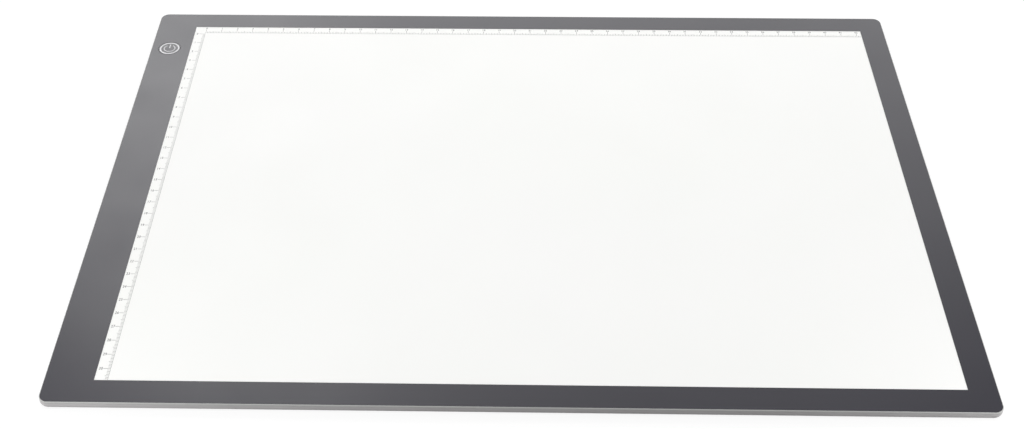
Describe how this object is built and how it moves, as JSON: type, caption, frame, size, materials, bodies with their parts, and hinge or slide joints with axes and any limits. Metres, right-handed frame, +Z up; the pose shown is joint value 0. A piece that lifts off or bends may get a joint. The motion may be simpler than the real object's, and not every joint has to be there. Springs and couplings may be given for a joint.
{
  "type": "led tracing pad",
  "caption": "Flat lit drawing panel in a thin frame with a dark border, a round power key in the wide left border, rubber feet and a power socket in the back edge.",
  "frame": {"origin": "on the table, under the middle of the pad's outline", "axes": "+X to the user's right along the long side, +Y away from the user, +Z up"},
  "size_m": [0.47, 0.346, 0.005],
  "materials": {
    "border_film": "dark grey film, satin",
    "front_panel": "opal white acrylic, lit from below",
    "power_key": "dark grey, satin",
    "panel_tape": "white tape",
    "diffuser_sheet": "frosted white",
    "light_guide_plate": "clear polished acrylic",
    "reflector_sheet": "white",
    "guide_cushions": "black foam",
    "mid_frame": "light grey moulded plastic, satin",
    "back_cover": "light grey paint on sheet metal",
    "cover_screws": "plated steel",
    "rubber_feet": "black rubber",
    "led_board": "white solder mask",
    "leds": "white case with yellow window",
    "led_resistors": "black",
    "led_leads": "red insulation",
    "control_board": "green solder mask",
    "board_insulator": "amber film",
    "driver_chip": "black moulded case",
    "power_inductor": "dark grey ferrite",
    "board_capacitors": "tan ceramic",
    "snap_dome": "stamped spring steel",
    "socket_shell": "plated steel",
    "socket_tongue": "black",
    "socket_contacts": "gold plated"
  },
  "bodies": {
    "pad": {"border_film": "border_film", "front_panel": "front_panel", "panel_tape": "panel_tape", "diffuser_sheet": "diffuser_sheet", "light_guide_plate": "light_guide_plate", "reflector_sheet": "reflector_sheet", "guide_cushions": "guide_cushions", "mid_frame": "mid_frame", "back_cover": "back_cover", "cover_screws": "cover_screws", "rubber_feet": "rubber_feet", "led_board": "led_board", "leds": "leds", "led_resistors": "led_resistors", "led_leads": "led_leads", "control_board": "control_board", "board_insulator": "board_insulator", "driver_chip": "driver_chip", "power_inductor": "power_inductor", "board_capacitors": "board_capacitors", "snap_dome": "snap_dome", "socket_shell": "socket_shell", "socket_tongue": "socket_tongue", "socket_contacts": "socket_contacts"},
    "power_key": {"power_key": "power_key"}
  },
  "joints": [
    {"name": "power_key_press", "type": "slide", "parent": "pad", "child": "power_key", "axis": [0, 0, -1], "range_m": [0, 0.00035], "stiffness_N_per_m": 3000, "deforming": ["snap_dome"]}
  ]
}
